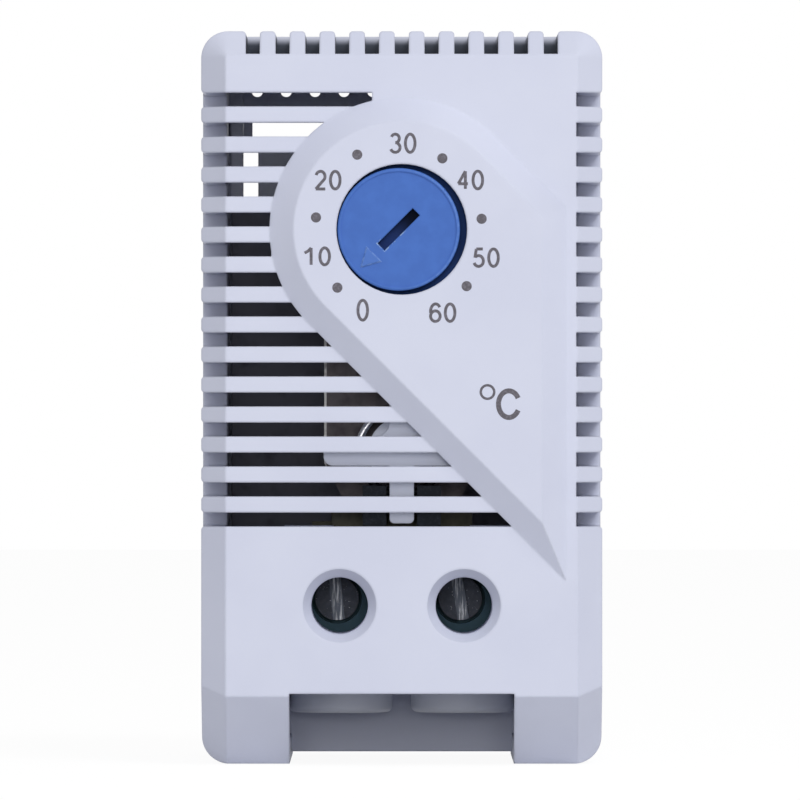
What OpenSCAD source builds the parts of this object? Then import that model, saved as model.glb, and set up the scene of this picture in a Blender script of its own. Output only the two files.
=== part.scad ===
// Compact bimetal thermostat for enclosures, clipped on a 35 mm rail.
// Lengths are in millimetres. X runs right, Y runs back and Z runs up.
// Modules work from the front face: depth 0 is the face and the panel stands in front of it.

/* [Case] */
// Width across the side walls
case_w = 32.8; // [31:0.2:35]
// Height of the case
case_h = 60; // [58:0.5:64]
// Depth from the front face to the back of the rear plate
body_d = 37; // [35:0.5:40]
// Depth of the front cover
cover_d = 26; // [25.8:0.1:27]
// Wall thickness of the mouldings
wall = 2; // [1.7:0.1:2.1]
// Width of the bevel round the front face
bevel = 2; // [1.4:0.1:2.3]
// Height of the sloped chin below the face
chin_h = 5.6; // [4.6:0.2:6]

/* [Grille] */
// Number of slots down each side
slot_count = 15; // [13:1:15]
// Pitch of the side slots
slot_pitch = 2.45; // [2.3:0.05:2.5]
// Height of one slot
slot_gap = 1.15; // [0.9:0.05:1.3]
// Depth of the side slots behind the face
slot_d = 12; // [8:0.5:16]
// Depth of the top slots behind the face
top_slot_d = 18; // [12:0.5:20]
// Distance of the first slot below the top
slot_drop = 5.62; // [5.2:0.05:6]
// Number of slots along the top
top_slot_count = 11; // [9:2:11]
// Rounding of the rib edges
rib_r = 0.3; // [0.1:0.05:0.35]

/* [Dial panel] */
// Height of the dial centre above the foot
dial_z = 43.75; // [43:0.25:45]
// Half width of the raised panel at its foot
panel_r = 10.8; // [10:0.1:11.2]
// Height of the raised panel
panel_h = 1.6; // [1.2:0.1:2]
// Width of the sloped edge of the panel
panel_slope = 1.95; // [1.5:0.05:2.2]
// Diameter of the dial hole
dial_hole_d = 10.66; // [10.6:0.02:11]

/* [Dial] */
// Diameter of the dial
dial_d = 10; // [9.6:0.1:10]
// How far the inner parts sit left of the middle of the cover
inner_shift = 0.25; // [0:0.05:0.25]
// Rise of the cam over the whole scale
cam_rise = 0.8; // [0.6:0.05:1]
// Turn of the dial over the whole scale
scale_turn = 308; // [290:2:308]
// Turn of the dial from the scale's start to where it stands
set_turn = 18; // [0:1:40]

/* [Terminals] */
// Half the distance between the two terminals
term_x = 5.08; // [5:0.02:5.2]
// Height of the screwdriver funnels
funnel_z = 13.04; // [12.8:0.05:13.4]
// Diameter of a funnel at the face
funnel_d = 6.04; // [5.6:0.05:6.2]
// Diameter of a funnel at its inner end
funnel_end_d = 4.64; // [4.3:0.05:4.8]
// Diameter of the wire entries
wire_d = 3.8; // [3:0.1:4]
// Outer diameter of the wire collars
collar_d = 8.6; // [7.6:0.1:8.8]
// Half width of the wire mouth
mouth_x = 9.2; // [8.8:0.1:9.3]
// Height of the wire mouth at the face
mouth_h = 5.84; // [5.4:0.05:5.9]
// Travel of a clamp cage
cage_travel = 2.4; // [1.6:0.1:2.4]
// Diameter of a terminal screw's thread
screw_d = 3; // [2.6:0.1:3]

/* [Bimetal] */
// Half width of the strip
strip_x = 6.4; // [5.8:0.1:6.6]
// Thickness of the strip
strip_t = 0.8; // [0.5:0.1:1]
// Diameter of the setting spring
spring_d = 7.7; // [7:0.1:7.8]
// Thickness of the spring wire
spring_wire = 0.6; // [0.4:0.05:0.7]

/* [Rail] */
// Width of the rail
rail_w = 35; // [34:0.5:36]
// Room for the rail's flange behind the rear plate
rail_gap = 1.3; // [1.1:0.1:1.6]
// Depth of the rail hooks behind the rear plate
hook_d = 4.3; // [4:0.1:5]

/* [Hidden] */
$fn = 72;
front_r = 0.2;
corner_r = bevel + front_r;
half_w = case_w / 2;
in_w = half_w - wall;
back_d = body_d + hook_d;
dial_proud = 0.1;
y_face = (panel_h + dial_proud - back_d) / 2;
fit = 0.1;

slot_top = case_h - slot_drop;
slot_floor = funnel_z + funnel_d / 2 + slot_gap;
slot_room = 1 + floor((slot_top - slot_floor) / slot_pitch);
slots = min(slot_count, slot_room);
slot_end = slot_top - (slots - 1) * slot_pitch;
top_pitch = 2.435 * case_w / 32.8;
panel_right = half_w - bevel - 1;
panel_top = case_h - bevel;

dial_x = -inner_shift;
core_x = -inner_shift;
term_z = funnel_z + 0.44;
dial_r = dial_d / 2;
flange_f = panel_h > 1.5 ? 0.6 : 0.9;
flange_t = 1;
cam_f = flange_f + flange_t;
cam_base = cam_f + 0.3;
cam_mid = 3.6;
cam_w = 2;
cam_margin = 14;
hub_r = 2.4;
hub_end = 5.6;
spindle_r = 1.25;

block_f = 10;
chamber_f = 13;
chamber_top = term_z + 3.5;
block_top = chamber_top + 0.8;
head_f = block_f - fit;
head_t = 1.8;
head_r = 1.8;

lever_f = wall + 0.4;
lug_front = lever_f - 0.2;
lever_t = 2;
lever_foot = block_top + 1.96;
lug_x = [1.25, 3.2];
pin_z = lever_foot + 1.5;
pin_f = lever_f + lever_t / 2;
pin_r = 0.8;
pin_half = lug_x[1] - fit;
nub_z = dial_z - cam_mid;
bar_z = lever_foot + 5.9;
bar_h = 2.4;

strip_f = 11.5;
strip_back = strip_f + strip_t;
strip_low = pin_z + 0.1;
contact_z = lever_foot + 0.5;
contact_r = 1.3;
root_z = nub_z - 2.15;
root_h = 2.8;
arm_f = 9;
arm_half = 5.8;
metal_t = 1;
bar_back = 17.1;
foot_half = 2.1;
magnet_half = [2, 1.8];
magnet_z = bar_z + (root_z - bar_z) * 0.364;

tray_z = 6;
tray_t = 1.6;
block_low = tray_z + tray_t + fit;
cage_w = 7.2;
cage_h = 6.6;
cage_front = chamber_f + cage_travel + 0.2;
cage_wall = 1;
cage_back = bar_back + metal_t + wire_d + 0.3;
wire_f = bar_back + metal_t + (wire_d + 0.3) / 2;
plate_f = 23.6;
plate_t = 1.6;
plate_over = 2.55;
plate_top = dial_z + plate_over;
pillar_end = body_d - wall - 0.2;
rail_z = case_h - rail_w / 2 - 12.5;
rail_top = rail_z + rail_w / 2;
rail_low = rail_z - rail_w / 2;
tongue_x = 12.1;
tongue_low = rail_top - 1.3;
tongue_top = rail_top + 3.8;

snap_heights = [15.6, case_h - 11.4];
wing_z = [snap_heights[0] + 3.4, snap_heights[1] - 2.7];
lip_t = 1.05;
tab_top = snap_heights[1] + 4.8;
funnel_depth = (funnel_d - funnel_end_d) / 2;
ramp_f = top_slot_d / 2;
collar_low = mouth_h - 1.94;
collar_edge = 0.5;
foot_relief = 0.45;
spindle_end = 14;
rivet_spots = [-1.4, 3.4];
rivet_end = 18;
dish = 0.1;

screw_spots = [
  [-8.6, plate_top - 4.3],
  [8.6, plate_top - 4.3],
  [-11.2, term_z],
  [11.2, term_z]
];

// Moves a piece from the face's frame to the part's own frame.
module place() {
  translate([0, y_face, 0]) children();
}

// Extrudes an outline of width and height from depth a to depth b.
module along_depth(a, b) {
  translate([0, b, 0]) rotate([90, 0, 0]) linear_extrude(b - a) children();
}

// Extrudes an outline of depth and height across the width.
module along_width(a, b) {
  translate([a, 0, 0]) rotate([90, 0, 90]) linear_extrude(b - a) children();
}

// A round bar that runs back from depth a to depth b.
module rod(x, z, a, b, r, r_end = -1) {
  translate([x, a, z]) rotate([-90, 0, 0]) cylinder(r1 = r, r2 = r_end < 0 ? r : r_end, h = b - a);
}

// A box given by its two ends along each axis.
module block(x, f, z) {
  translate([x[0], f[0], z[0]]) cube([x[1] - x[0], f[1] - f[0], z[1] - z[0]]);
}

// A box of a given half width about a middle.
module slab(x, half, f, z) {
  block([x - half, x + half], f, z);
}

// The outline of the case seen from the front.
module outline(inset, r) {
  w = half_w - inset;
  h = case_h - inset;
  translate([-w + r, inset]) square([2 * (w - r), h - inset]);
  translate([-w, inset + r]) square([2 * w, h - inset - 2 * r]);
  for (x = [-w + r, w - r])
    for (z = [inset + r, h - r])
      translate([x, z]) circle(r);
}

// One quarter of the cone that rounds the bevel at a top corner.
module bevel_corner(side) {
  translate([side * (half_w - corner_r), 0, case_h - corner_r])
    rotate([-90, 0, 0])
      rotate([0, 0, side > 0 ? 270 : 180])
        rotate_extrude(angle = 90)
          polygon([[0, 0], [front_r, 0], [corner_r, bevel], [0, bevel]]);
}

// The solid block of the cover with its bevels and its chin.
module cover_block() {
  x_face = half_w - bevel;
  x_round = half_w - corner_r;
  z_round = case_h - corner_r;
  difference() {
    union() {
      along_depth(bevel, cover_d) outline(0, corner_r);
      block([-x_face, x_face], [0, bevel], [0, z_round]);
      block([-x_round, x_round], [0, bevel], [z_round, case_h - bevel]);
      for (side = [-1, 1]) {
        linear_extrude(z_round)
          polygon([[side * x_face, 0], [side * half_w, bevel], [side * x_face, bevel]]);
        bevel_corner(side);
      }
      along_width(-x_round, x_round)
        polygon([[0, case_h - bevel], [bevel, case_h], [bevel, case_h - bevel]]);
    }
    along_width(-half_w - 1, half_w + 1)
      polygon([[-1, -1], [chin_h + 1, -1], [-1, chin_h + 1]]);
    for (side = [-1, 1])
      translate([0, 0, chin_h]) rotate([45, 0, 0]) translate([0, 0, -chin_h * 2])
        linear_extrude(chin_h * 2 + 0.5)
          polygon([
            [side * (x_face - 1), -1],
            [side * (half_w + 1), bevel + 1],
            [side * (half_w + 1), -1]
          ]);
  }
}

// The outline of the raised panel, a half circle that runs on down to the right.
module panel_outline(r, right) {
  intersection() {
    translate([dial_x + inner_shift, dial_z]) rotate(-45) {
      circle(r);
      translate([0, -r]) square([3 * r, 2 * r]);
    }
    translate([-half_w, 0]) square([half_w + right, panel_top]);
  }
}

// The raised panel with its sloped edge.
module panel() {
  top_r = panel_r - panel_slope;
  difference() {
    translate([0, 0, dial_z]) rotate([0, 45, 0]) {
      rotate([90, 0, 0]) rotate([0, 0, 90])
        rotate_extrude(angle = 180)
          polygon([[0, 0], [panel_r, 0], [top_r, panel_h], [0, panel_h]]);
      along_width(0, 3 * panel_r)
        polygon([[0, -panel_r], [0, panel_r], [-panel_h, top_r], [-panel_h, -top_r]]);
    }
    linear_extrude(case_h)
      polygon([
        [panel_right, 0],
        [3 * half_w, 0],
        [3 * half_w, -2 * panel_h],
        [panel_right - 2 * panel_slope, -2 * panel_h]
      ]);
    block([-half_w, half_w], [-2 * panel_h, 0], [panel_top, case_h + panel_r]);
  }
}

// A notch in an edge, open towards +Y, with rounded lips.
module notch(depth) {
  translate([-slot_gap / 2, -depth]) square([slot_gap, depth + 1]);
  for (side = [-1, 1])
    difference() {
      translate([side * (slot_gap + rib_r) / 2, -rib_r / 2 + 0.25])
        square([rib_r, rib_r + 0.5], center = true);
      translate([side * (slot_gap / 2 + rib_r), -rib_r]) circle(rib_r, $fn = 24);
    }
}

// The notches of both sides as one outline.
module side_notches() {
  for (i = [0 : slots - 1])
    for (side = [-1, 1])
      translate([side * half_w, slot_top - i * slot_pitch]) rotate(-90 * side) notch(wall + 0.15);
}

// The notches of the top, open into the case behind the face and run out in a ramp.
module top_notches() {
  for (j = [0 : top_slot_count - 1])
    translate([(j - (top_slot_count - 1) / 2) * top_pitch, 0, 0]) {
      along_depth(-1, wall + 0.1) translate([0, case_h]) notch(wall - 0.1);
      difference() {
        along_depth(wall, top_slot_d) translate([0, case_h]) notch(wall + 0.2);
        along_width(-slot_gap, slot_gap)
          polygon([
            [ramp_f, case_h - wall],
            [top_slot_d, case_h],
            [top_slot_d + 1, case_h - 2 * wall],
            [ramp_f, case_h - 2 * wall]
          ]);
      }
    }
}

// The slots in the face, from the left edge to the foot of the panel.
module face_slots() {
  difference() {
    for (i = [0 : slots - 1]) {
      z = slot_top - i * slot_pitch;
      left = half_w - wall;
      right = z > dial_z ? -2.43 : dial_z - panel_r * sqrt(2) - z + 3;
      translate([-left, z - slot_gap / 2]) square([left + right, slot_gap]);
    }
    panel_outline(panel_r, panel_right);
  }
}

// The hollow of the cover.
module cover_hollow() {
  difference() {
    along_depth(wall, cover_d + 1) outline(wall, 0.6);
    along_width(-half_w, half_w)
      polygon([[0, 0], [chin_h + 1.42 * wall, 0], [0, chin_h + 1.42 * wall]]);
  }
}

module front_cover() {
  sill = slot_end - slot_gap / 2 + 0.06;
  core_r = panel_r - panel_slope - 0.5;
  core_right = panel_right - panel_slope - 0.5;
  color([0.83, 0.84, 0.91])
  place()
  difference() {
    union() {
      difference() {
        cover_block();
        cover_hollow();
      }
      panel();
      for (side = [-1, 1]) {
        rod(side * term_x, funnel_z, wall - 0.5, block_f - 0.5, funnel_d / 2 + 0.4);
        slab(side * 7.6, 2, [wall - 0.5, wall + 4], [sill - 1, sill]);
      }
    }
    along_depth(-1, slot_d) side_notches();
    top_notches();
    along_depth(-1, wall + 0.5) face_slots();
    along_depth(wall - panel_h, wall + 0.5) panel_outline(core_r, core_right);
    rod(0, dial_z, -panel_h - 1, wall + 1, dial_hole_d / 2);
    for (side = [-1, 1]) {
      rod(side * term_x, funnel_z, 0, funnel_depth, funnel_d / 2, funnel_end_d / 2);
      rod(side * term_x, funnel_z, funnel_depth - 0.1, block_f - 0.4, funnel_end_d / 2);
      for (z = snap_heights)
        slab(side * (half_w - wall / 2), wall, [cover_d - 2.1, cover_d - 0.5], [z - 2.7, z + 2.7]);
    }
    block([-mouth_x, mouth_x], [-1, cover_d + 1], [-1, mouth_h]);
  }
}

// The lip of the base that stands inside the cover.
module base_lip() {
  difference() {
    union() {
      along_depth(cover_d - 2.6, cover_d + 1) outline(wall + fit, 0.6);
      along_depth(cover_d, cover_d + 1.4) outline(wall - 0.2, 0.6);
    }
    along_depth(cover_d - 3, cover_d + 2) outline(wall + fit + lip_t, 0.4);
    block([-half_w, half_w], [0, cover_d + 2], [0, wall + chin_h]);
    block([-half_w, half_w], [0, cover_d], wing_z);
    block([-half_w, half_w], [0, cover_d], [tab_top, case_h - wall - fit - lip_t]);
  }
}

// A hook behind the rear plate, with its lip pointing up or down.
module rail_hook(x, z_root, z_edge, z_lip) {
  seat = body_d + rail_gap;
  up = z_lip > z_edge ? 1 : -1;
  along_width(x[0], x[1])
    polygon([
      [body_d - 0.5, z_root],
      [back_d - 1, z_root],
      [back_d, z_root + up],
      [back_d, z_lip - up * 1.2],
      [back_d - 1.2, z_lip],
      [seat, z_lip],
      [seat, z_edge],
      [body_d - 0.5, z_edge]
    ]);
}

// The tray that closes the wire room, with its two collars.
module wire_tray() {
  difference() {
    union() {
      block([-mouth_x - 1.2, mouth_x + 1.2], [block_f, body_d - 1], [tray_z, tray_z + tray_t]);
      for (side = [-1, 1]) {
        slab(side * (mouth_x + 0.7), 0.5, [block_f, body_d - 1], [wall + 0.2, tray_z + 0.5]);
        translate([side * term_x, wire_f, 0]) collar();
      }
    }
    for (side = [-1, 1])
      translate([side * term_x, wire_f, 0]) {
        cylinder(d = wire_d, h = 3 * tray_z);
        translate([0, 0, collar_low - 0.5]) cylinder(r1 = wire_d / 2 + 1.4, r2 = wire_d / 2, h = 1.4);
      }
  }
}

// One collar with a rounded lower rim.
module collar() {
  r = collar_d / 2;
  rotate_extrude() {
    translate([0, collar_low]) square([r - collar_edge, tray_z - collar_low + 0.5]);
    translate([0, collar_low + collar_edge]) square([r, tray_z - collar_low]);
    translate([r - collar_edge, collar_low + collar_edge]) circle(collar_edge, $fn = 32);
  }
}

// A vent with round ends in the rear plate.
module rear_vent(x) {
  low = case_h - 4.6;
  high = case_h - wall - 0.9;
  r = 0.47;
  block([x - r, x + r], [body_d - wall - 1, body_d + 1], [low + r, high]);
  for (z = [low + r, high]) rod(x, z, body_d - wall - 1, body_d + 1, r);
}

module rear_base() {
  color([0.81, 0.82, 0.89])
  place()
  difference() {
    union() {
      difference() {
        along_depth(cover_d, body_d) outline(0, corner_r);
        along_depth(cover_d - 1, body_d - wall) outline(wall, 0.6);
      }
      block([-mouth_x - 1, mouth_x + 1], [cover_d, cover_d + wall], [0.2, tray_z + 0.5]);
      base_lip();
      wire_tray();
      rail_hook([-tongue_x, tongue_x], tongue_top, rail_top + 0.3, rail_top - 1.5);
      for (side = [-1, 1]) {
        rail_hook([side * 9.5 - 2.5, side * 9.5 + 2.5], rail_low - 4.2, rail_low - 0.3, rail_low + 1.5);
        for (z = snap_heights)
          along_depth(cover_d - 2, cover_d - 0.6)
            translate([side * (in_w + 0.3), z]) square([1.2, 5], center = true);
      }
      for (spot = screw_spots) rod(spot[0], spot[1], plate_f + plate_t, body_d - 0.5, 2);
    }
    for (j = [0 : top_slot_count - 1]) rear_vent((j - (top_slot_count - 1) / 2) * top_pitch);
    slab(0, tongue_x + 0.5, [body_d - wall - 1, body_d + 1], [tongue_top, tongue_top + 2.9]);
    for (side = [-1, 1])
      slab(side * (tongue_x + 0.65), 0.65, [body_d - wall - 1, body_d + 1], [tongue_low, tongue_top + 0.5]);
    for (spot = screw_spots) rod(spot[0], spot[1], plate_f, pillar_end - 1, 0.95);
    block([-mouth_x, mouth_x], [cover_d - 1, body_d + 1], [-1, foot_relief]);
  }
}

// The chamber of one terminal, open below for the wire.
module term_chamber(x) {
  block([x - cage_w / 2 - 0.2, x + cage_w / 2 + 0.2], [chamber_f, plate_f], [block_low - 1, chamber_top]);
  rod(x, term_z, block_f - 1, head_f + head_t + fit, head_r + 0.25);
  rod(x, term_z, block_f, chamber_f + 1, screw_d / 2 + 0.15);
  block([x - 2.4, x + 2.4], [bar_back - 0.2, bar_back + metal_t + 0.2], [chamber_top - 1, block_top + 1]);
}

// A block behind the strip at the magnet, larger than the magnet by a margin.
module magnet_block(margin, f) {
  high = magnet_half[1] + margin;
  slab(0, magnet_half[0] + margin, f, [magnet_z - high, magnet_z + high]);
}

module contact_carrier() {
  lug_mid = (lug_x[0] + lug_x[1]) / 2;
  lug_f = [lug_front, lever_f + 3.4];
  root_f = strip_back + fit + metal_t;
  color([0.12, 0.12, 0.13])
  place()
  difference() {
    union() {
      slab(0, in_w - 2.4, [plate_f, plate_f + plate_t], [block_low, plate_top]);
      slab(0, in_w - 1.4, [plate_f, plate_f + plate_t], [block_low, block_top]);
      slab(0, in_w - 0.2, [plate_f, plate_f + plate_t], [wing_z[0] + 0.2, wing_z[1] - 0.2]);
      block([core_x - 9.4, core_x + 9.4], [block_f, plate_f + 0.5], [block_low, block_top]);
      slab(0, lug_x[1], [lug_front, block_f + 0.5], [block_top - 0.9, block_top]);
      for (side = [-1, 1])
        slab(side * lug_mid, lug_x[1] - lug_mid, lug_f, [block_top - 0.5, pin_z + 1.6]);
      rod(dial_x, dial_z, hub_end + 0.6, plate_f + 0.5, hub_r);
      block([-2.4, 4.6], [root_f, plate_f + 0.5], [root_z - root_h / 2, root_z + root_h / 2]);
      magnet_block(0.2, [strip_back + 3.7, plate_f + 0.5]);
    }
    for (side = [-1, 1]) term_chamber(core_x + side * term_x);
    rod(0, bar_z, lever_f + lever_t - 0.1, strip_f, spring_d / 2 + 0.2);
    rod(dial_x, dial_z, 0, spindle_end, spindle_r + 0.01);
    translate([-4, pin_f, pin_z]) rotate([0, 90, 0]) cylinder(r = pin_r + 0.01, h = 8);
    for (x = rivet_spots) rod(x, root_z, strip_f, rivet_end, 0.91);
    for (spot = screw_spots) rod(spot[0], spot[1], plate_f - 1, plate_f + plate_t + 1, 1.05);
  }
}

// The height of the cam at an angle from the follower, seen from the front.
function cam_height(a) = cam_base + cam_rise * (a + set_turn) / scale_turn;

// The ramp on the back of the dial, as a ring that stops short of a whole turn.
module cam_ramp() {
  steps = 56;
  first = -set_turn - cam_margin;
  sweep = scale_turn + 2 * cam_margin;
  low = cam_f - 0.4;
  radii = [cam_mid - cam_w / 2, cam_mid + cam_w / 2];
  points = [
    for (i = [0 : steps])
      let (a = first + sweep * i / steps)
      for (k = [[0, 0], [1, 0], [1, 1], [0, 1]])
        [radii[k[0]] * sin(a), k[1] == 0 ? low : cam_height(a), -radii[k[0]] * cos(a)]
  ];
  faces = concat(
    [[0, 1, 2, 3]],
    [for (i = [0 : steps - 1]) for (k = [0 : 3])
      let (a = 4 * i + k, b = 4 * i + (k + 1) % 4)
      for (tri = [[a, a + 4, b], [b, a + 4, b + 4]]) tri],
    [[4 * steps + 3, 4 * steps + 2, 4 * steps + 1, 4 * steps]]
  );
  polyhedron(points, faces, convexity = 6);
}

module dial_knob() {
  face_f = -panel_h - dial_proud;
  edge = 0.2;
  color([0.29, 0.45, 0.75])
  place()
  translate([dial_x, 0, dial_z]) {
    difference() {
      union() {
        translate([0, face_f, 0]) rotate([-90, 0, 0]) rotate_extrude() {
          translate([0, edge]) square([dial_r, flange_f - face_f]);
          square([dial_r - edge, 1]);
          translate([dial_r - edge, edge]) circle(edge, $fn = 32);
        }
        rod(0, 0, flange_f, cam_f, dial_r + 1);
        rod(0, 0, cam_f - 0.5, hub_end, hub_r);
        cam_ramp();
      }
      rod(0, 0, face_f - 1, face_f + dish, dial_r - 0.28);
      rotate([0, 45, 0]) block([-0.41, 0.41], [face_f - 1, face_f + 1.3], [-2.03, 2.03]);
      rod(0, 0, face_f + 1.6, hub_end + 1, spindle_r + 0.05);
    }
    rotate([0, 45, 0]) along_depth(face_f, face_f + 0.4)
      polygon([[-0.82, -2.87], [0.82, -2.87], [0, -4.34]]);
  }
}

module dial_spindle() {
  color([0.7, 0.7, 0.72])
  place()
  rod(dial_x, dial_z, 0.3, spindle_end - 0.1, spindle_r);
}

// The cross outline of the lever, seen from the front.
module lever_outline() {
  fillet = 1.2;
  r = 0.8;
  top = bar_z + bar_h / 2;
  low = bar_z - bar_h / 2;
  translate([-1, lever_foot + 0.4]) square([2, nub_z + 0.75 - lever_foot - 0.4]);
  translate([-0.6, lever_foot]) square([1.2, 1]);
  for (x = [-0.6, 0.6]) translate([x, lever_foot + 0.4]) circle(0.4);
  translate([-strip_x + r, low]) square([2 * (strip_x - r), bar_h]);
  translate([-strip_x, low + r]) square([2 * strip_x, bar_h - 2 * r]);
  for (x = [-strip_x + r, strip_x - r])
    for (z = [low + r, top - r])
      translate([x, z]) circle(r);
  for (side = [-1, 1])
    difference() {
      translate([side * (1 + fillet / 2), top + fillet / 2])
        square([fillet + 0.1, fillet + 0.1], center = true);
      translate([side * (1 + fillet), top + fillet]) circle(fillet);
    }
}

module setting_lever() {
  tip = cam_height(0) + 0.04;
  r = 0.6;
  color([0.8, 0.81, 0.86])
  place()
  difference() {
    union() {
      along_depth(lever_f, lever_f + lever_t) lever_outline();
      rod(0, bar_z, lever_f + 1, lever_f + lever_t + 1.2, spring_d / 2 - spring_wire - 0.5);
      rod(0, nub_z, tip + r, lever_f + 1, r);
      translate([0, tip + r, nub_z]) sphere(r);
    }
    translate([-3, pin_f, pin_z]) rotate([0, 90, 0]) cylinder(r = pin_r + 0.06, h = 6);
  }
}

module lever_pin() {
  color([0.7, 0.7, 0.72])
  place()
  translate([-pin_half, pin_f, pin_z]) rotate([0, 90, 0]) cylinder(r = pin_r, h = 2 * pin_half);
}

// The depth of the spring's centre line after a number of turns, with closed end turns.
function coil_depth(t, turns, from, to, wire) =
  t < 1 ? from + wire / 2 + t * wire
  : t > turns - 1 ? to - wire / 2 - (turns - t) * wire
  : from + 1.5 * wire + (to - from - 3 * wire) * (t - 1) / (turns - 2);

module setting_spring() {
  from = lever_f + lever_t + 0.03;
  to = strip_f - 0.03;
  turns = 4;
  sides = 8;
  steps = turns * 24;
  mean_r = spring_d / 2 - spring_wire / 2;
  points = [
    for (i = [0 : steps])
      let (t = turns * i / steps, a = 360 * t, f = coil_depth(t, turns, from, to, spring_wire * 0.94))
      for (k = [0 : sides - 1])
        let (b = 360 * k / sides, r = mean_r + spring_wire / 2 * cos(b))
        [r * cos(a), f + spring_wire * 0.47 * sin(b), bar_z + r * sin(a)]
  ];
  faces = concat(
    [[for (k = [0 : sides - 1]) k]],
    [for (i = [0 : steps - 1]) for (k = [0 : sides - 1])
      let (a = sides * i + k, b = sides * i + (k + 1) % sides)
      for (tri = [[a, a + sides, b], [b, a + sides, b + sides]]) tri],
    [[for (k = [sides - 1 : -1 : 0]) sides * steps + k]]
  );
  color([0.72, 0.72, 0.74])
  place()
  polyhedron(points, faces, convexity = 10);
}

module bimetal_strip() {
  narrow = strip_x - 1.75;
  tongue = 2.4;
  high = root_z + root_h / 2;
  color([0.5, 0.42, 0.36])
  place()
  difference() {
    along_depth(strip_f, strip_back)
      polygon([
        [-strip_x, high],
        [strip_x, high],
        [strip_x, strip_low + 3.3],
        [narrow, strip_low],
        [tongue, strip_low],
        [tongue, contact_z - contact_r],
        [-tongue, contact_z - contact_r],
        [-tongue, strip_low],
        [-narrow, strip_low],
        [-strip_x, strip_low + 3.3]
      ]);
    for (x = rivet_spots) rod(x, root_z, strip_f - 1, strip_back + 1, 1.15);
    rod(0, contact_z, strip_f - 1, strip_back + 1, 0.71);
  }
}

module strip_rivets() {
  color([0.75, 0.7, 0.6])
  place()
  for (x = rivet_spots) {
    rod(x, root_z, strip_f - 0.6, strip_f - 0.1, 1.5);
    rod(x, root_z, strip_f - 0.3, rivet_end - 0.1, 0.9);
  }
}

module moving_contact() {
  color([0.8, 0.8, 0.8])
  place() {
    rod(0, contact_z, strip_f - 0.65, strip_f, contact_r);
    rod(0, contact_z, strip_f - 0.3, strip_back + 0.3, 0.7);
    rod(0, contact_z, strip_back, strip_back + 0.3, 1.1);
  }
}

module fixed_contact() {
  color([0.8, 0.8, 0.8])
  place() {
    rod(0, contact_z, arm_f + metal_t, strip_f - 0.7, contact_r);
    rod(0, contact_z, arm_f - 0.3, arm_f + metal_t + 0.3, 0.7);
    rod(0, contact_z, arm_f - 0.3, arm_f, 1.1);
  }
}

module armature() {
  color([0.55, 0.55, 0.57])
  place()
  magnet_block(0.4, [strip_back, strip_back + 0.5]);
}

module snap_magnet() {
  color([0.2, 0.2, 0.2])
  place()
  magnet_block(0, [strip_back + 1.3, strip_back + 3.7]);
}

// The foot of a busbar inside its clamp cage.
module bar_foot(x, high) {
  slab(x, foot_half, [bar_back, bar_back + metal_t], [term_z - cage_h / 2 - fit, high]);
}

module busbar_left() {
  x = core_x - term_x;
  riser = [-5, -2.7];
  high = root_z + root_h / 2;
  tab_f = [strip_back + 0.1, strip_back + 0.1 + metal_t];
  color([0.78, 0.62, 0.32])
  place()
  difference() {
    union() {
      bar_foot(x, block_top + 2);
      block(riser, [bar_back, bar_back + metal_t], [block_top + 1, high]);
      block(riser, [tab_f[0], bar_back + metal_t], [high - metal_t, high]);
      block([riser[0], 4.4], tab_f, [root_z - root_h / 2, high]);
    }
    for (x = rivet_spots) rod(x, root_z, strip_f, bar_back, 0.91);
  }
}

module busbar_right() {
  x = core_x + term_x;
  shelf = [block_top + 0.1, block_top + 0.1 + metal_t];
  color([0.78, 0.62, 0.32])
  place()
  difference() {
    union() {
      bar_foot(x, shelf[1]);
      block([1.3, x + foot_half], [arm_f, bar_back + metal_t], shelf);
      block([1.3, 3.2], [arm_f, arm_f + metal_t], [shelf[0], contact_z + contact_r]);
      slab(0, arm_half, [arm_f, arm_f + metal_t], [contact_z - contact_r + fit, contact_z + contact_r]);
    }
    rod(0, contact_z, arm_f - 1, arm_f + metal_t + 1, 0.71);
  }
}

// A slotted clamp screw whose tip bears on the busbar.
module terminal_screw(x, tilt) {
  color([0.42, 0.42, 0.42])
  place()
  difference() {
    union() {
      rod(x, term_z, head_f, head_f + head_t, head_r);
      rod(x, term_z, head_f + 1, bar_back - 0.05, screw_d / 2);
    }
    translate([x, 0, term_z]) rotate([0, tilt, 0])
      block([-0.5, 0.5], [head_f - 1, head_f + 1], [-3, 3]);
  }
}

module terminal_screw_left() {
  terminal_screw(core_x - term_x, -6);
}

module terminal_screw_right() {
  terminal_screw(core_x + term_x, -9);
}

// A clamp cage that rises on its screw and draws the wire to the busbar.
module terminal_cage(x) {
  half = cage_w / 2;
  color([0.66, 0.66, 0.68])
  place()
  difference() {
    slab(x, half, [cage_front, cage_back + cage_wall], [term_z - cage_h / 2, term_z + cage_h / 2]);
    slab(x, half - cage_wall, [bar_back - 0.1, cage_back], [0, case_h]);
    rod(x, term_z, 0, bar_back, screw_d / 2 + 0.05);
  }
}

module terminal_cage_left() {
  terminal_cage(core_x - term_x);
}

module terminal_cage_right() {
  terminal_cage(core_x + term_x);
}

module carrier_screws() {
  color([0.72, 0.72, 0.74])
  place()
  for (spot = screw_spots)
    difference() {
      union() {
        rod(spot[0], spot[1], plate_f - 1.1, plate_f, 1.6);
        rod(spot[0], spot[1], plate_f - 0.5, pillar_end - 1.5, 0.94);
      }
      translate([spot[0], 0, spot[1]]) rotate([0, 30, 0])
        block([-0.25, 0.25], [plate_f - 2, plate_f - 0.5], [-2, 2]);
    }
}

front_cover();
rear_base();
contact_carrier();
dial_knob();
dial_spindle();
setting_lever();
lever_pin();
setting_spring();
bimetal_strip();
strip_rivets();
moving_contact();
fixed_contact();
armature();
snap_magnet();
busbar_left();
busbar_right();
terminal_screw_left();
terminal_screw_right();
terminal_cage_left();
terminal_cage_right();
carrier_screws();
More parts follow.
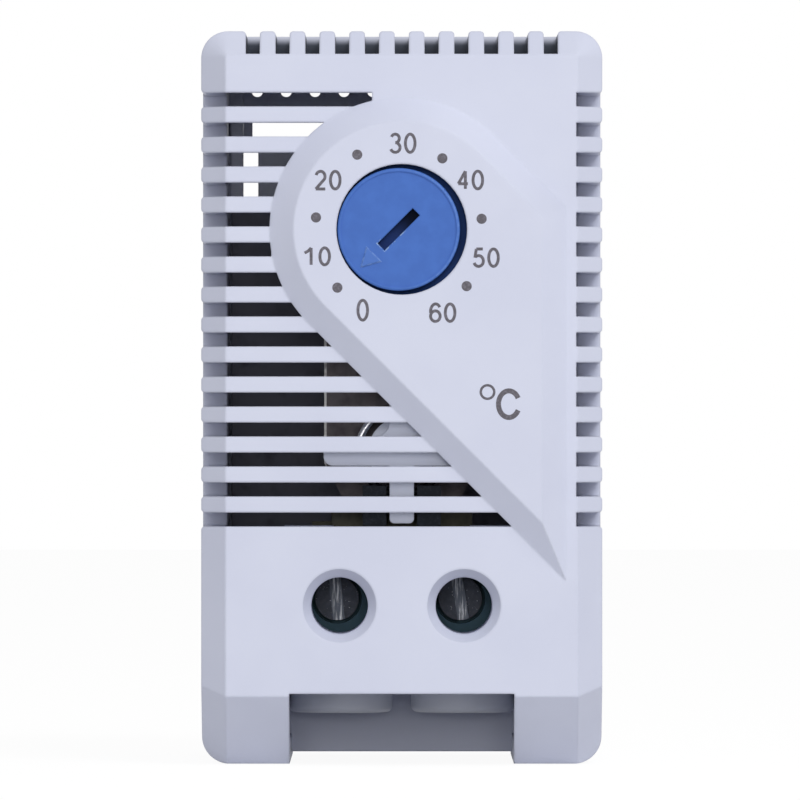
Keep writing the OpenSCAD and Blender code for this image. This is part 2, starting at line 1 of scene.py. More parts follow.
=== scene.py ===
import math
import bmesh
import bpy
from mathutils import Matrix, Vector


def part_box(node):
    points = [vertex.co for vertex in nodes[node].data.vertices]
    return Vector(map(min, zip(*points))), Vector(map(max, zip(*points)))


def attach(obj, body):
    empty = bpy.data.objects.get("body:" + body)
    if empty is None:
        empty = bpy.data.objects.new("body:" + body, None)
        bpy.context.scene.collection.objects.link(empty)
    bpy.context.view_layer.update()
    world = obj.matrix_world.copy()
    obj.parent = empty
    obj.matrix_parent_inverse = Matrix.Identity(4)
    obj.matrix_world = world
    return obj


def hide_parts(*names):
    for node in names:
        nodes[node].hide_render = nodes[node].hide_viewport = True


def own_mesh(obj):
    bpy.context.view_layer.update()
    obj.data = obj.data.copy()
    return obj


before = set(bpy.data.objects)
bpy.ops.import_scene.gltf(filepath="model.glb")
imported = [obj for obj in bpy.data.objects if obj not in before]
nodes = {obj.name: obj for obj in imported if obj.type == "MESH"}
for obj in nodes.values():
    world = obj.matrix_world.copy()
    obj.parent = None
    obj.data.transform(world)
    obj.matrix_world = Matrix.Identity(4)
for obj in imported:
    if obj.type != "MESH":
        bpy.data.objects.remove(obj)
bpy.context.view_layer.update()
mm = 0.001
dialRise = 0.1 * mm   # from the panel out to the dial's face
panelRise = 1.6 * mm   # from the cover's face out to the panel
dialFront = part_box("dial_knob")[0][1]
panelY = dialFront + dialRise
faceY = panelY + panelRise
print("frame loaded,", len(nodes), "CAD nodes")


class Val:
    # a socket that can be used in sums
    def __init__(self, tree, socket):
        self.tree = tree
        self.socket = socket

    def join(self, operation, other, swapped=False):
        node = self.tree.nodes.new("ShaderNodeMath")
        node.operation = operation
        pair = (other, self) if swapped else (self, other)
        for slot, value in zip(node.inputs, pair):
            feed(self.tree, slot, value)
        return Val(self.tree, node.outputs[0])

    def __add__(self, other):
        return self.join("ADD", other)

    def __radd__(self, other):
        return self.join("ADD", other, True)

    def __sub__(self, other):
        return self.join("SUBTRACT", other)

    def __rsub__(self, other):
        return self.join("SUBTRACT", other, True)

    def __mul__(self, other):
        return self.join("MULTIPLY", other)

    def __rmul__(self, other):
        return self.join("MULTIPLY", other, True)

    def __truediv__(self, other):
        return self.join("DIVIDE", other)

    def __rtruediv__(self, other):
        return self.join("DIVIDE", other, True)

    def __lt__(self, other):
        return self.join("LESS_THAN", other)

    def __gt__(self, other):
        return self.join("GREATER_THAN", other)


def feed(tree, slot, value):
    if isinstance(value, Val):
        tree.links.new(value.socket, slot)
    else:
        slot.default_value = value


class Finish:
    # one material, or the room, and the way its nodes are made
    def __init__(self, name, tree=None):
        if tree is None:
            self.material = bpy.data.materials.new(name)
            self.material.use_nodes = True
            tree = self.material.node_tree
        self.tree = tree
        tree.nodes.clear()

    def make(self, kind, settings=None, sockets=None, out=0):
        node = self.tree.nodes.new(kind)
        for key, value in (settings or {}).items():
            if key == "stops":
                ramp = node.color_ramp
                while len(ramp.elements) < len(value):
                    ramp.elements.new(0.5)
                for element, (place, tone) in zip(ramp.elements, value):
                    element.position = place
                    element.color = tone if isinstance(tone, tuple) else (tone, tone, tone, 1)
            else:
                setattr(node, key, value)
        for key, value in (sockets or {}).items():
            feed(self.tree, node.inputs[key], value)
        return Val(self.tree, node.outputs[out]) if len(node.outputs) else None

    def place(self):
        return self.make("ShaderNodeTexCoord", out="Object")

    def split(self, vector):
        first = self.make("ShaderNodeSeparateXYZ", None, {"Vector": vector})
        return [Val(self.tree, socket) for socket in first.socket.node.outputs]

    def noise(self, where, scale, detail=2.0, rough=0.5):
        return self.make("ShaderNodeTexNoise", None,
                         {"Vector": where, "Scale": scale, "Detail": detail, "Roughness": rough})

    def stretch(self, where, scale):
        return self.make("ShaderNodeMapping", None, {"Vector": where, "Scale": scale})

    def function(self, operation, *values):
        return self.make("ShaderNodeMath", {"operation": operation}, dict(enumerate(values)))

    def fade(self, value, low, high):
        # 0 below low, 1 above high, soft between
        return self.make("ShaderNodeMapRange", {"interpolation_type": "SMOOTHSTEP"},
                         {"Value": value, "From Min": low, "From Max": high})

    def ramp(self, value, stops):
        return self.make("ShaderNodeValToRGB", {"stops": stops}, {"Fac": value})

    def blend(self, amount, first, second):
        return self.make("ShaderNodeMix", {"data_type": "RGBA"}, {0: amount, 6: first, 7: second}, out=2)

    def turn(self, amount, first, second):
        return self.make("ShaderNodeMix", {"data_type": "VECTOR"}, {0: amount, 4: first, 5: second}, out=1)

    def softEdge(self, radius):
        return self.make("ShaderNodeBevel", {"samples": 6}, {"Radius": radius})

    def bump(self, height, strength, distance, base=None):
        sockets = {"Height": height, "Strength": strength, "Distance": distance}
        if base is not None:
            sockets["Normal"] = base
        return self.make("ShaderNodeBump", None, sockets)

    def surface(self, sockets):
        shader = self.make("ShaderNodeBsdfPrincipled", None, sockets)
        self.make("ShaderNodeOutputMaterial", None, {"Surface": shader})
        return self.material


def rgb(r, g, b):
    # a screen colour of 0 to 255 as linear light
    return tuple(((c / 255 + 0.055) / 1.055) ** 2.4 for c in (r, g, b)) + (1.0,)


# light blue-grey moulding with the fine grain of a spark-eroded mould
caseLook = {"tone": rgb(210, 214, 233), "pale": rgb(212, 216, 234), "shade": rgb(208, 212, 231),
            "grain": 9000, "flow": 120, "roughness": 0.48, "swing": 0.14, "specular": 0.4,
            "edge": 0.32 * mm, "relief": 0.02 * mm}
# painted shade and painted light on the mouldings, in mm from the middle, the face and the foot
notchShade = {"tone": rgb(54, 60, 74), "dull": 0.5, "half": 13.6, "depth": (2.1, 2.5),
             "from": 57.1, "fade": (59.1, 60.1)}
funnelShade = {"tone": rgb(181, 185, 205), "dull": 0.1, "at": (5.08, 13.04), "radius": 3.06,
             "depth": (0.02, 1.0), "least": 0.4, "heavy": (-1.6, 1.6)}
collarLight = {"tone": rgb(238, 242, 254), "dull": 0.0, "at": (5.08, 20.15), "radius": 4.36, "top": 9}


def shadedNotch(fin, where, plan):
    # painted shade, darker deep and low in the top notches
    x, y, z = fin.split(where)
    within = fin.function("ABSOLUTE", x) < plan["half"] * mm
    behind = fin.fade((y - faceY) / mm, *plan["depth"])
    low = 1 - fin.fade(z / mm, *plan["fade"])
    return within * behind * low * (z > plan["from"] * mm)


def shadedFunnel(fin, where, plan):
    # painted shade in the funnels, darkest at the top
    x, y, z = fin.split(where)
    across = fin.function("ABSOLUTE", x) / mm - plan["at"][0]
    up = z / mm - plan["at"][1]
    depth = (y - faceY) / mm
    near = across * across + up * up < plan["radius"] ** 2
    amount = plan["least"] + (1 - plan["least"]) * fin.fade(up, *plan["heavy"])
    return near * (depth > plan["depth"][0]) * (depth < plan["depth"][1]) * amount


def litCollars(fin, where, plan):
    # painted light: the collars of the wire entries, paler than the rest of the base
    x, y, z = fin.split(where)
    across = fin.function("ABSOLUTE", x) / mm - plan["at"][0]
    behind = (y - faceY) / mm - plan["at"][1]
    near = across * across + behind * behind < plan["radius"] ** 2
    return near * (z < plan["top"] * mm)


def mouldedCase(name, look, marks=()):
    fin = Finish(name)
    where = fin.place()
    grain = fin.noise(where, look["grain"], 3.0, 0.6)
    flow = fin.noise(where, look["flow"], 3.0, 0.5)   # slow flow marks of the moulding
    tone = fin.blend(fin.fade(flow, 0.3, 0.7), look["shade"], look["pale"])
    speck = fin.fade(fin.noise(where, look["grain"] * 0.35, 1.0), 0.45, 0.8)
    tone = fin.blend(speck * 0.4, tone, look["tone"])
    rough = look["roughness"] + look["swing"] * (grain - 0.5)
    for mask, plan in marks:
        amount = mask(fin, where, plan)
        tone = fin.blend(amount, tone, plan["tone"])
        rough = rough + plan["dull"] * amount
    height = grain * 0.75 + flow * 0.25
    normal = fin.bump(height, 0.1, look["relief"], fin.softEdge(look["edge"]))
    return fin.surface({"Base Color": tone, "Roughness": rough, "Specular IOR Level": look["specular"],
                        "Normal": normal})


# dark moulding with pale filler flecks, painted lighter in patches deep behind the slots as painted light,
# and lighter and teal low down as a painted reflection
carrierLook = {"tone": rgb(42, 45, 50), "fleck": rgb(55, 58, 63), "deepLight": rgb(118, 118, 130),
               "deepLightDepth": (7, 13), "block": rgb(72, 96, 106), "blockTop": (17.0, 18.5),
               "fleckScale": 5200, "deepLightScale": 500, "roughness": 0.7, "specular": 0.12, "relief": 0.02 * mm}


def blackMoulding(name, look):
    fin = Finish(name)
    where = fin.place()
    fleck = fin.noise(where, look["fleckScale"], 4.0, 0.65)
    y, z = fin.split(where)[1:]
    upper = fin.fade(z / mm, *look["blockTop"])   # below it the terminal block is painted lighter and teal, a painted reflection
    # painted light: paler in patches deeper behind the slots
    patch = fin.fade(fin.noise(where, look["deepLightScale"], 3.0), 0.0, 0.5)
    deepLight = fin.fade((y - faceY) / mm, *look["deepLightDepth"]) * patch
    tone = fin.blend(fin.fade(fleck, 0.45, 0.7), look["tone"], look["fleck"])
    tone = fin.blend(deepLight, tone, look["deepLight"])
    tone = fin.blend(upper, look["block"], tone)
    return fin.surface({"Base Color": tone, "Roughness": look["roughness"] + 0.2 * fleck,
                        "Specular IOR Level": look["specular"],
                        "Normal": fin.bump(fleck, 0.15, look["relief"])})


# satin blue dial with painted shade in its slot and in the gap round it, a worn arrow, and a worn rim with a
# painted highlight on its right
dialLook = {"tone": rgb(70, 113, 195), "deep": rgb(65, 107, 188), "rubAndHighlight": rgb(112, 148, 214),
            "slotShade": rgb(40, 62, 118), "dark": rgb(16, 25, 44), "side": rgb(46, 72, 128),
            "chip": rgb(156, 184, 226), "centre": (-0.25, 43.75), "rim": 4.87, "dish": 4.72,
            "arrow": (2.87, 4.34, 0.82), "slot": (2.03, 0.41),
            "cloudScale": 700, "grainScale": 9000, "chipScale": 2600,
            "roughness": 0.48, "specular": 0.25, "edge": 0.2 * mm, "relief": 0.015 * mm}


def satinDial(name, look):
    fin = Finish(name)
    where = fin.place()
    x, y, z = fin.split(where)
    across = x / mm - look["centre"][0]
    up = z / mm - look["centre"][1]
    radius = fin.function("SQRT", across * across + up * up)
    depth = (y - dialFront) / mm
    along = (across + up) * -math.sqrt(0.5)   # distance from the middle towards the arrow
    beside = (across - up) * math.sqrt(0.5)
    aside = fin.function("ABSOLUTE", beside)
    base, tip, half = look["arrow"]
    slant = (along - base) * half / (tip - base) + aside   # equals half on the arrow's long edges
    offEdge = fin.function("ABSOLUTE", slant - half) * (tip - base) / math.hypot(half, tip - base)
    offBase = fin.function("ABSOLUTE", along - base)
    inside = (along > base - 0.05) * (slant < half + 0.07)
    line = fin.function("MAXIMUM", offEdge < 0.06, (offBase < 0.05) * (aside < half)) * inside
    fill = (along > base) * (slant < half)
    cloud = fin.noise(where, look["cloudScale"], 3.0)
    grain = fin.noise(where, look["grainScale"], 2.0)
    chip = fin.fade(fin.noise(where, look["chipScale"], 3.0, 0.6), 0.38, 0.62)
    slotLong, slotHalf = look["slot"]
    offSlot = fin.function("MAXIMUM", fin.function("ABSOLUTE", along) - slotLong, aside - slotHalf)
    # pale chips on the slot's lower-right edges: wear, placed on the lit side as a painted highlight
    burrHighlight = (offSlot < 0.09) * fin.fade(beside + 0.5 * along, 0.1, 0.5) * fin.fade(chip, 0.3, 0.9)
    rim = 1 - fin.fade(fin.function("ABSOLUTE", radius - look["rim"]), 0.03, 0.1)
    rim = rim * (0.3 + 0.7 * chip) * (0.2 + 0.8 * fin.fade(across, 0, 4))   # worn rim, lightest on the right as a painted highlight
    tone = fin.blend(fin.fade(cloud, 0.35, 0.7), look["deep"], look["tone"])
    tone = fin.blend(rim * 0.6, tone, look["rubAndHighlight"])
    tone = fin.blend(fin.function("MAXIMUM", fill * 0.15, line * (0.2 + 0.7 * chip)), tone, look["rubAndHighlight"])
    tone = fin.blend(burrHighlight * 0.8, tone, look["chip"])
    # painted shade: the bottom of the slot, darkest towards the upper right, and the side wall in the gap
    # round the dial are darkened
    sunkShade = fin.fade(depth, 0.25, 0.75)
    slotFloorShade = fin.blend(fin.fade(along, -1.8, 1.2), look["dark"], look["slotShade"])
    tone = fin.blend(sunkShade, tone, fin.blend(radius > look["dish"] - 0.3, slotFloorShade, look["side"]))
    nearDish = 1 - fin.fade(fin.function("ABSOLUTE", radius - look["dish"]), 0.14, 0.3)
    smooth = fin.make("ShaderNodeNewGeometry", out="Normal")
    normal = fin.turn(nearDish * 0.8, fin.softEdge(look["edge"]), smooth)
    return fin.surface({"Base Color": tone, "Roughness": look["roughness"] + 0.1 * cloud + 0.4 * sunkShade,
                        "Specular IOR Level": look["specular"],
                        "Normal": fin.bump(grain, 0.1, look["relief"], normal)})


# what the bare metals share: stains, and the depth of their drawn or rolled lines
metalWork = {"stainScale": 900, "swing": 0.2, "dull": 0.1, "shadedDull": 0.3, "relief": 0.01 * mm}


def brightMetal(name, look):
    fin = Finish(name)
    where = fin.place()
    grain = fin.noise(fin.stretch(where, look["run"]), look["scale"], 3.0, 0.6)   # drawn or rolled lines
    stain = fin.noise(where, metalWork["stainScale"], 4.0, 0.6)
    tone = fin.blend(fin.fade(stain, 0.4, 0.75), look["tone"], look["stain"])
    rough = look["roughness"] + metalWork["swing"] * (grain - 0.5) + metalWork["dull"] * stain
    if "shadedBelow" in look:
        low = 1 - fin.fade(fin.split(where)[2] / mm, *look["shadedBelow"])   # painted shade: dull and dark below this height
        tone = fin.blend(low, tone, look["dark"])
        rough = rough + metalWork["shadedDull"] * low
    return fin.surface({"Base Color": tone, "Metallic": look["metal"], "Roughness": rough,
                        "Normal": fin.bump(grain, 0.15, metalWork["relief"])})


steelLook = {"tone": rgb(186, 186, 188), "stain": rgb(158, 158, 160), "run": (1, 1, 0.08),
             "scale": 4000, "roughness": 0.3, "metal": 1.0}
pinLook = {"tone": rgb(64, 65, 68), "stain": rgb(48, 49, 52), "run": (0.1, 1, 1),
           "scale": 4000, "roughness": 0.5, "metal": 0.5}
# the spring is painted dark below its middle, a painted shade
springLook = {"tone": rgb(236, 236, 238), "stain": rgb(206, 206, 208), "run": (1, 1, 1),
              "scale": 5000, "roughness": 0.24, "metal": 1.0,
              "shadedBelow": (24.2, 26.0), "dark": rgb(62, 62, 66)}
brassLook = {"tone": rgb(88, 86, 74), "stain": rgb(68, 66, 57), "run": (0.1, 1, 1),
             "scale": 3200, "roughness": 0.5, "metal": 0.5}
silverLook = {"tone": rgb(112, 108, 98), "stain": rgb(84, 80, 74), "run": (1, 1, 1),
              "scale": 4200, "roughness": 0.5, "metal": 0.8}
bimetalLook = {"tone": rgb(126, 119, 121), "stain": rgb(105, 99, 102), "cut": rgb(226, 223, 220),
               "cutWidth": 0.2, "rolledScale": 3000, "stainScale": 700, "roughness": 0.58, "metal": 0.4,
               "specular": 0.3}


def rolledBimetal(name, look, low, high):
    # dull brown face with bright cut edges along both long sides
    fin = Finish(name)
    where = fin.place()
    rolled = fin.noise(fin.stretch(where, (1, 1, 0.04)), look["rolledScale"], 3.0, 0.6)
    stain = fin.noise(where, look["stainScale"], 4.0, 0.6)
    half = (high[0] - low[0]) / 2 / mm
    across = fin.split(where)[0] / mm
    offSide = fin.function("ABSOLUTE", across - (low[0] + high[0]) / 2 / mm)
    cut = (offSide > half - look["cutWidth"]) * fin.fade(stain, 0.25, 0.5)
    tone = fin.blend(fin.fade(stain, 0.4, 0.75), look["tone"], look["stain"])
    tone = fin.blend(cut, tone, look["cut"])
    rough = look["roughness"] + metalWork["swing"] * (rolled - 0.5) - 0.12 * cut
    return fin.surface({"Base Color": tone, "Metallic": look["metal"], "Roughness": rough,
                        "Specular IOR Level": look["specular"],
                        "Normal": fin.bump(rolled, 0.15, metalWork["relief"])})


# dark plated screw, scratched bright by the driver in its slot
screwLook = {"tone": rgb(78, 81, 89), "dark": rgb(60, 64, 72), "worn": rgb(128, 134, 146),
             "bright": rgb(247, 249, 252), "slot": 0.52, "slotShift": 0.02,
             "stainScale": 1500, "scratchScale": 6500, "pitScale": 5200,
             "roughness": 0.5, "metal": 0.3, "specular": 0.3}


def wornScrew(name, look, low, high, tilt):
    fin = Finish(name)
    where = fin.place()
    x, z = fin.split(where)[::2]
    across = x / mm - (low[0] + high[0]) / 2 / mm
    up = z / mm - (low[2] + high[2]) / 2 / mm
    beside = across * math.cos(tilt) + up * math.sin(-tilt)
    offSlot = fin.function("ABSOLUTE", beside + look["slotShift"])
    stain = fin.noise(where, look["stainScale"], 4.0, 0.6)
    scratch = fin.noise(fin.stretch(where, (1, 1, 0.07)), look["scratchScale"], 4.0, 0.65)
    pit = fin.noise(where, look["pitScale"], 3.0, 0.6)
    inSlot = 1 - fin.fade(offSlot, look["slot"] * 0.85, look["slot"] * 1.05)
    streak = (1 - fin.fade(offSlot, look["slot"] * 0.4, look["slot"])) * fin.fade(scratch, 0.47, 0.64)
    bright = fin.function("MINIMUM", streak + 0.5 * fin.fade(pit, 0.66, 0.72), 1.0)
    tone = fin.blend(fin.fade(stain, 0.35, 0.7), look["dark"], look["tone"])
    tone = fin.blend(inSlot * 0.8, tone, look["worn"])
    tone = fin.blend(bright, tone, look["bright"])
    return fin.surface({"Base Color": tone, "Metallic": look["metal"],
                        "Roughness": look["roughness"] + 0.2 * stain, "Specular IOR Level": look["specular"],
                        "Normal": fin.bump(scratch, 0.2, metalWork["relief"])})


# gritty sintered block, nearly black
ferriteLook = {"stops": [(0.3, 0.012), (0.8, 0.05)], "scale": 7000, "roughness": 0.5, "relief": 0.02 * mm}


def ferrite(name, look):
    fin = Finish(name)
    grit = fin.noise(fin.place(), look["scale"], 4.0, 0.7)
    return fin.surface({"Base Color": fin.ramp(grit, look["stops"]),
                        "Roughness": look["roughness"] + 0.3 * grit,
                        "Normal": fin.bump(grit, 0.3, look["relief"])})


# dark grey ink, thin in places
inkLook = {"full": rgb(79, 75, 84), "thin": rgb(112, 109, 121), "scale": 5200, "roughness": 0.45}


def printInk(name, look):
    fin = Finish(name)
    wear = fin.noise(fin.place(), look["scale"], 3.0, 0.6)
    tone = fin.blend(fin.fade(wear, 0.4, 0.75), look["full"], look["thin"])
    return fin.surface({"Base Color": tone, "Roughness": look["roughness"] + 0.15 * wear})


# how close points are joined, and the turns in degrees that count as flat and as an edge
easing = {"weld": 0.002 * mm, "flat": 0.5, "turn": 30, "segments": 2}


def dress(name, material, edge):
    # the CAD shape stays; its edges are eased by edge mm and its curves shaded smooth
    obj = nodes[name]
    turn = math.radians(easing["turn"])
    obj.data.materials.clear()
    obj.data.materials.append(material)
    obj.data.polygons.foreach_set("use_smooth", [True] * len(obj.data.polygons))
    weld = obj.modifiers.new("weld", "WELD")
    weld.merge_threshold = easing["weld"]
    if edge:
        flat = obj.modifiers.new("joinFlats", "DECIMATE")
        flat.decimate_type = "DISSOLVE"
        flat.angle_limit = math.radians(easing["flat"])
        bevel = obj.modifiers.new("easedEdge", "BEVEL")
        bevel.width = edge * mm
        bevel.segments = easing["segments"]
        bevel.limit_method = "ANGLE"
        bevel.angle_limit = turn
        bevel.harden_normals = True
    crisp = obj.modifiers.new("crispTurns", "EDGE_SPLIT")
    crisp.split_angle = turn
    even = obj.modifiers.new("evenShade", "WEIGHTED_NORMAL")
    even.keep_sharp = True


leverLook = {**caseLook, "tone": rgb(230, 234, 247), "pale": rgb(233, 237, 249), "shade": rgb(226, 230, 243),
             "edge": 0.15 * mm}
steel = brightMetal("platedSteel", steelLook)
brass = brightMetal("stampedBrass", brassLook)
silver = brightMetal("silverContact", silverLook)

# each node's finish, and the width of its eased edges in mm
finishes = {
    "front_cover": (mouldedCase("coverGrey", caseLook, [(shadedNotch, notchShade), (shadedFunnel, funnelShade)]), 0),
    "rear_base": (mouldedCase("baseGrey", {**caseLook, "flow": 140}, [(litCollars, collarLight)]), 0),
    "setting_lever": (mouldedCase("leverGrey", leverLook), 0),
    "contact_carrier": (blackMoulding("blackCarrier", carrierLook), 0.08),
    "dial_knob": (satinDial("dialBlue", dialLook), 0),
    "bimetal_strip": (rolledBimetal("bimetalSheet", bimetalLook, *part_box("bimetal_strip")), 0.08),
    "snap_magnet": (ferrite("ferriteBlock", ferriteLook), 0.05),
    "lever_pin": (brightMetal("darkPin", pinLook), 0.06),
    "dial_spindle": (steel, 0.06), "armature": (steel, 0.06), "carrier_screws": (steel, 0.06),
    "terminal_cage_left": (steel, 0.08), "terminal_cage_right": (steel, 0.08),
    "busbar_left": (brass, 0.06), "busbar_right": (brass, 0.06), "strip_rivets": (brass, 0.06),
    "moving_contact": (silver, 0.05), "fixed_contact": (silver, 0.05),
}
screwTilts = {"left": -6, "right": -9}   # degrees that each slot leans
for side, tilt in screwTilts.items():
    name = "terminal_screw_" + side
    finishes[name] = (wornScrew("screw_" + side, screwLook, *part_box(name), math.radians(tilt)), 0.03)
for name, (finish, edge) in finishes.items():
    dress(name, finish, edge)
print("finishes on the CAD nodes")


def addPiece(name, build, material):
    bmesh.ops.recalc_face_normals(build, faces=build.faces)
    mesh = bpy.data.meshes.new(name)
    build.to_mesh(mesh)
    build.free()
    mesh.materials.append(material)
    piece = bpy.data.objects.new(name, mesh)
    bpy.context.scene.collection.objects.link(piece)
    return piece


# the spring is wound again with a round wire
springPlan = {"turns": 4, "wire": 0.6 * mm, "flat": 0.94, "perTurn": 48, "sides": 14, "pressed": 0.31 * mm}


def coilDepth(turn, plan, front, back):
    # the first and last turns lie close, the others share what is left
    wire = plan["wire"] * plan["flat"]
    if turn < 1:
        return front + wire * (0.5 + turn)
    if turn > plan["turns"] - 1:
        return back - wire * (0.5 + plan["turns"] - turn)
    return front + 1.5 * wire + (back - front - 3 * wire) * (turn - 1) / (plan["turns"] - 2)


def makeSpring(plan):
    low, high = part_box("setting_spring")
    front, back = low[1], high[1]
    middle = (low[2] + high[2]) / 2
    coil = (high[0] - low[0] - plan["wire"]) / 2
    build = bmesh.new()
    rings = []
    for i in range(plan["turns"] * plan["perTurn"] + 1):
        turn = i / plan["perTurn"]
        angle = 2 * math.pi * turn
        depth = coilDepth(turn, plan, front, back)
        ring = []
        for k in range(plan["sides"]):
            aside = 2 * math.pi * k / plan["sides"]
            reach = coil + plan["wire"] / 2 * math.cos(aside)
            deep = depth + plan["wire"] * plan["flat"] / 2 * math.sin(aside)
            ring.append(build.verts.new((reach * math.cos(angle), deep, middle + reach * math.sin(angle))))
        rings.append(ring)
    for a, b in zip(rings, rings[1:]):
        for k in range(plan["sides"]):
            n = (k + 1) % plan["sides"]
            build.faces.new((a[k], a[n], b[n], b[k])).smooth = True
    build.faces.new(rings[0])
    build.faces.new(rings[-1])
    obj = addPiece("springCoil", build, brightMetal("springWire", springLook))
    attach(obj, "case")
    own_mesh(obj)
    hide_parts("setting_spring")


makeSpring(springPlan)
print("spring wound")

# the printed scale, in mm from the middle of the case and from its foot
scalePrint = {
    "width": 1.02, "stroke": 0.24, "gap": 0.18, "film": 0.024, "layer": 0.002,
    "figures": {"0": (-3.18, 37.16, 1.86), "10": (-6.88, 41.55, 1.62), "20": (-6.02, 47.76, 1.68),
                "30": (0.09, 50.77, 1.72), "40": (5.6, 47.77, 1.68), "50": (6.88, 41.44, 1.66),
                "60": (3.34, 36.96, 1.66)},
    "dots": [(-3.63, 49.84), (3.31, 49.54), (-6.99, 44.72), (6.51, 44.61), (-5.25, 39.0), (5.29, 39.12)],
    "dotRadius": 0.42, "dotFill": 0.98,
    "degree": {"at": (6.99, 30.49), "radius": 0.55, "stroke": 0.2},
    "letter": {"at": (8.73, 29.5), "wide": 2.1, "tall": 2.58, "stroke": 0.41, "open": 27},
}


def arc(cx, cy, rx, ry, start, end, steps=18):
    spots = []
    for i in range(steps + 1):
        a = math.radians(start + (end - start) * i / steps)
        spots.append((cx + rx * math.cos(a), cy + ry * math.sin(a)))
    return spots


def figurePaths(figure, w, h):
    # the middle lines of a plain figure in a box w wide and h high
    r = w / 2
    upper = 0.47 * h / 2
    lower = h / 2 - upper
    if figure == "0":
        return [arc(r, h / 2, r, h / 2, 0, 360, 40)]
    if figure == "1":
        stem = 0.62 * w
        return [[(-0.06 * w, 0.7 * h), (0.3 * w, 0.81 * h), (stem, h)], [(stem, h), (stem, 0)]]
    if figure == "2":
        bow = arc(r, h - 0.29 * h, r * 0.94, 0.29 * h, 165, -35)
        return [bow + [(0.1 * w, 0.06 * h), (0, 0)], [(0, 0), (w, 0)]]
    if figure == "3":
        return [arc(r * 0.96, h - upper, r * 0.84, upper, 160, -90),
                arc(r * 0.96, lower, r, lower, 90, -160)]
    if figure == "4":
        stem, bar = 0.74 * w, 0.29 * h
        return [[(stem, 0), (stem, h)], [(stem, h), (0, bar)], [(0, bar), (w, bar)]]
    if figure == "5":
        bow = arc(r * 0.96, 0.31 * h, r, 0.31 * h, 128, -160)
        return [[(0.92 * w, h), (0.24 * w, h)], [(0.24 * w, h), (0.1 * w, 0.5 * h)], bow]
    bowl = arc(r, 0.3 * h, r, 0.3 * h, 0, 360, 36)
    return [bowl, arc(r * 1.06, 0.56 * h, r * 1.06, 0.44 * h, 35, 190)]


def inkLine(target, path, stroke, lift):
    # a flat line of even width along a path on the panel
    closed = math.dist(path[0], path[-1]) < 1e-6
    spots = path[:-1] if closed else path
    count = len(spots)
    sides = []
    for i, (x, z) in enumerate(spots):
        back = spots[i - 1] if closed or i else spots[0]
        ahead = spots[(i + 1) % count] if closed or i < count - 1 else spots[-1]
        dx, dz = ahead[0] - back[0], ahead[1] - back[1]
        long = math.hypot(dx, dz)
        nx, nz = -dz / long * stroke / 2, dx / long * stroke / 2
        pair = [((x + s * nx) * mm, panelY - lift * mm, (z + s * nz) * mm) for s in (1, -1)]
        sides.append([target.verts.new(spot) for spot in pair])
    for i in range(count if closed else count - 1):
        a, b = sides[i], sides[(i + 1) % count]
        target.faces.new((a[0], a[1], b[1], b[0]))


def makePrint(plan):
    build = bmesh.new()
    stroke = plan["stroke"]
    for text, (x, z, tall) in plan["figures"].items():
        whole = len(text) * plan["width"] + (len(text) - 1) * plan["gap"]
        for n, figure in enumerate(text):
            left = x - whole / 2 + n * (plan["width"] + plan["gap"]) + stroke / 2
            low = z - tall / 2 + stroke / 2
            for step, path in enumerate(figurePaths(figure, plan["width"] - stroke, tall - stroke)):
                inkLine(build, [(left + a, low + b) for a, b in path], stroke, plan["layer"] * step)
    letter = plan["letter"]
    wide = (letter["wide"] - letter["stroke"]) / 2
    high = (letter["tall"] - letter["stroke"]) / 2
    bow = arc(*letter["at"], wide, high, letter["open"], 360 - letter["open"], 40)
    inkLine(build, bow, letter["stroke"], 0)
    degree = plan["degree"]
    inkLine(build, arc(*degree["at"], degree["radius"], degree["radius"], 0, 360, 40), degree["stroke"], 0)
    half = plan["dotRadius"] / 2
    for spot in plan["dots"]:
        inkLine(build, arc(*spot, half, half, 0, 360, 32), plan["dotRadius"] * plan["dotFill"], 0)
    obj = addPiece("scalePrint", build, printInk("scaleInk", inkLook))
    body = obj.modifiers.new("inkFilm", "SOLIDIFY")
    body.thickness = plan["film"] * mm
    body.offset = 0.0
    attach(obj, "case")


makePrint(scalePrint)
print("scale printed")

# a softbox round the camera, one above and to the right, an even room and a white ground
studio = {"front": {"from": (0.0, -1.0, 0.12), "away": 1.4, "size": 0.3, "level": 0.17},
          "key": {"from": (0.38, -0.68, 0.63), "away": 0.9, "size": 0.4, "level": 0.39},
          "middle": (0, 0, 30 * mm), "room": 0.45, "ground": 3.0, "groundLow": -0.05 * mm,
          "paper": 0.8, "groundWhite": 1.06, "groundGlow": 0.88}


def softbox(name, plan, target):
    lamp = bpy.data.lights.new(name, "AREA")
    lamp.shape = "SQUARE"
    lamp.size = plan["size"]
    lamp.energy = plan["level"] * (math.pi * plan["away"]) ** 2   # a white face towards it shows this level
    box = bpy.data.objects.new(name, lamp)
    box.location = target + Vector(plan["from"]).normalized() * plan["away"]
    box.rotation_euler = (target - box.location).to_track_quat("-Z", "Y").to_euler()
    bpy.context.scene.collection.objects.link(box)


def seenRay(fin):
    # 1 for what the camera, a mirror or glass sees, 0 for light on the object
    rays = fin.make("ShaderNodeLightPath").socket.node.outputs
    kinds = ("Is Camera Ray", "Is Glossy Ray", "Is Transmission Ray")
    camera, glossy, through = [Val(fin.tree, rays[kind]) for kind in kinds]
    return fin.function("MINIMUM", camera + glossy + through, 1.0)


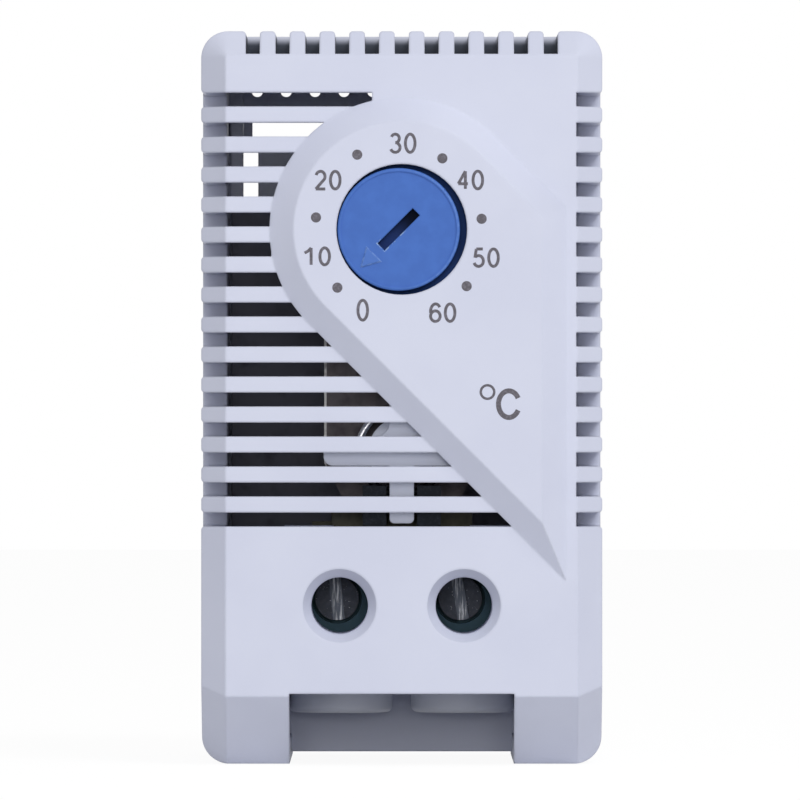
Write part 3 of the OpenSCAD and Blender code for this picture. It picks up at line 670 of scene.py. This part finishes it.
def makeStudio(plan):
    middle = Vector(plan["middle"])
    softbox("frontBox", plan["front"], middle)
    softbox("keyBox", plan["key"], middle)

    world = bpy.data.worlds.new("room")
    world.use_nodes = True
    bpy.context.scene.world = world
    room = Finish("room", world.node_tree)
    level = plan["room"] + (1 - plan["room"]) * seenRay(room)
    glow = room.make("ShaderNodeBackground", None, {"Color": (1, 1, 1, 1), "Strength": level})
    room.make("ShaderNodeOutputWorld", None, {"Surface": glow})

    half = plan["ground"] / 2
    corners = [(x * half, y * half, plan["groundLow"]) for x, y in ((-1, -1), (1, -1), (1, 1), (-1, 1))]
    mesh = bpy.data.meshes.new("ground")
    mesh.from_pydata(corners, [], [(0, 1, 2, 3)])
    ground = bpy.data.objects.new("ground", mesh)
    bpy.context.scene.collection.objects.link(ground)
    fin = Finish("paleGround")
    paper = fin.make("ShaderNodeBsdfDiffuse", None, {"Color": (plan["paper"],) * 3 + (1,)})
    light = fin.make("ShaderNodeEmission", None, {"Color": (1, 1, 1, 1), "Strength": plan["groundWhite"]})
    mixed = fin.make("ShaderNodeMixShader", None, {0: seenRay(fin) * plan["groundGlow"], 1: paper, 2: light})
    fin.make("ShaderNodeOutputMaterial", None, {"Surface": mixed})
    mesh.materials.append(fin.material)


# straight on with a long lens, as the photograph was taken
view = {"away": 1.05, "aim": (-0.143 * mm, 29.84 * mm), "shown": 65.306 * mm, "sensor": 36.0,
        "clip": (0.01, 20)}


def makeCamera(plan):
    lens = bpy.data.cameras.new("camera")
    lens.sensor_width = plan["sensor"]
    lens.lens = plan["sensor"] * plan["away"] / plan["shown"]
    lens.clip_start, lens.clip_end = plan["clip"]
    camera = bpy.data.objects.new("camera", lens)
    camera.location = (plan["aim"][0], faceY - plan["away"], plan["aim"][1])
    camera.rotation_euler = (math.radians(90), 0, 0)
    bpy.context.scene.collection.objects.link(camera)
    bpy.context.scene.camera = camera


makeStudio(studio)
makeCamera(view)
bpy.context.scene.view_settings.view_transform = "Standard"
print("light, ground and camera")
